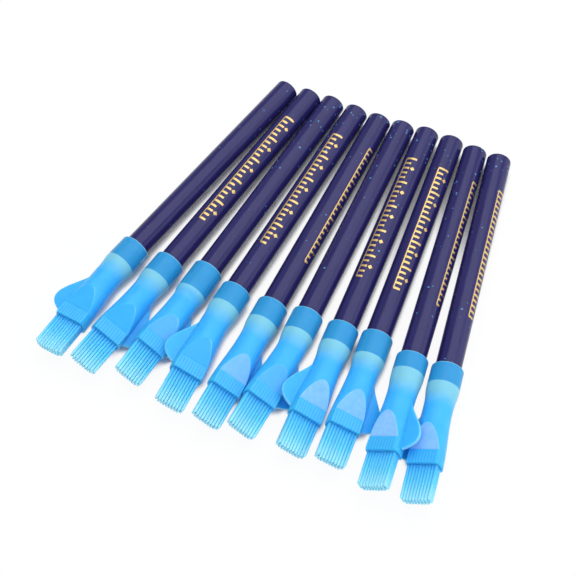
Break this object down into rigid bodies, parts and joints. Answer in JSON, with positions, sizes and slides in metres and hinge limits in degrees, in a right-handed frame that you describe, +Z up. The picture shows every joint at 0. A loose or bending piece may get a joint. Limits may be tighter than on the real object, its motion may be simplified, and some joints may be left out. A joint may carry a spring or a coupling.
{
  "type": "tailor's chalk pencil set",
  "caption": "Set of round lacquered tailor's chalk pencils laid out in a fan, each with a soft push-on cap that ends in a flat brush with a side fin for brushing chalk marks off cloth.",
  "frame": {"origin": "centre of the set's outer box, on the surface that it lies on", "axes": "+X along the row of far ends, from the leftmost pencil to the rightmost as the picture shows them; +Y from the brushes towards the far ends; +Z up"},
  "size_m": [0.1246, 0.122, 0.0112],
  "materials": {
    "lacquered_wood": "glossy navy lacquer",
    "chalk": "matt pressed chalk",
    "soft_plastic": "satin translucent soft plastic",
    "bristle_plastic": "translucent soft plastic"
  },
  "bodies": {
    "pencils": {"upper_slat_01": "lacquered_wood", "upper_slat_02": "lacquered_wood", "upper_slat_03": "lacquered_wood", "upper_slat_04": "lacquered_wood", "upper_slat_05": "lacquered_wood", "upper_slat_06": "lacquered_wood", "upper_slat_07": "lacquered_wood", "upper_slat_08": "lacquered_wood", "upper_slat_09": "lacquered_wood", "upper_slat_10": "lacquered_wood", "lower_slat_01": "lacquered_wood", "lower_slat_02": "lacquered_wood", "lower_slat_03": "lacquered_wood", "lower_slat_04": "lacquered_wood", "lower_slat_05": "lacquered_wood", "lower_slat_06": "lacquered_wood", "lower_slat_07": "lacquered_wood", "lower_slat_08": "lacquered_wood", "lower_slat_09": "lacquered_wood", "lower_slat_10": "lacquered_wood", "chalk_core_01": "chalk", "chalk_core_02": "chalk", "chalk_core_03": "chalk", "chalk_core_04": "chalk", "chalk_core_05": "chalk", "chalk_core_06": "chalk", "chalk_core_07": "chalk", "chalk_core_08": "chalk", "chalk_core_09": "chalk", "chalk_core_10": "chalk"},
    "cap_01": {"brush_cap_01": "soft_plastic", "bristle_comb_01": "bristle_plastic"},
    "cap_02": {"brush_cap_02": "soft_plastic", "bristle_comb_02": "bristle_plastic"},
    "cap_03": {"brush_cap_03": "soft_plastic", "bristle_comb_03": "bristle_plastic"},
    "cap_04": {"brush_cap_04": "soft_plastic", "bristle_comb_04": "bristle_plastic"},
    "cap_05": {"brush_cap_05": "soft_plastic", "bristle_comb_05": "bristle_plastic"},
    "cap_06": {"brush_cap_06": "soft_plastic", "bristle_comb_06": "bristle_plastic"},
    "cap_07": {"brush_cap_07": "soft_plastic", "bristle_comb_07": "bristle_plastic"},
    "cap_08": {"brush_cap_08": "soft_plastic", "bristle_comb_08": "bristle_plastic"},
    "cap_09": {"brush_cap_09": "soft_plastic", "bristle_comb_09": "bristle_plastic"},
    "cap_10": {"brush_cap_10": "soft_plastic", "bristle_comb_10": "bristle_plastic"}
  },
  "joints": [
    {"name": "cap_01_pull", "type": "slide", "parent": "pencils", "child": "cap_01", "axis": [-0.2017, -0.9794, 0.013], "range_m": [0, 0.00848]},
    {"name": "cap_02_pull", "type": "slide", "parent": "pencils", "child": "cap_02", "axis": [-0.1544, -0.9879, 0.0117], "range_m": [0, 0.00834]},
    {"name": "cap_03_pull", "type": "slide", "parent": "pencils", "child": "cap_03", "axis": [-0.1073, -0.9941, 0.012], "range_m": [0, 0.01042]},
    {"name": "cap_04_pull", "type": "slide", "parent": "pencils", "child": "cap_04", "axis": [-0.0714, -0.9974, 0.0123], "range_m": [0, 0.0079]},
    {"name": "cap_05_pull", "type": "slide", "parent": "pencils", "child": "cap_05", "axis": [-0.0219, -0.9997, 0.012], "range_m": [0, 0.00808]},
    {"name": "cap_06_pull", "type": "slide", "parent": "pencils", "child": "cap_06", "axis": [0.0149, -0.9997, 0.0167], "range_m": [0, 0.00866]},
    {"name": "cap_07_pull", "type": "slide", "parent": "pencils", "child": "cap_07", "axis": [0.055, -0.9984, 0.012], "range_m": [0, 0.00802]},
    {"name": "cap_08_pull", "type": "slide", "parent": "pencils", "child": "cap_08", "axis": [0.0801, -0.9967, 0.0132], "range_m": [0, 0.00906]},
    {"name": "cap_09_pull", "type": "slide", "parent": "pencils", "child": "cap_09", "axis": [0.1261, -0.9917, 0.0253], "range_m": [0, 0.00657]},
    {"name": "cap_10_pull", "type": "slide", "parent": "pencils", "child": "cap_10", "axis": [0.1564, -0.9875, 0.0175], "range_m": [0, 0.00741]}
  ]
}
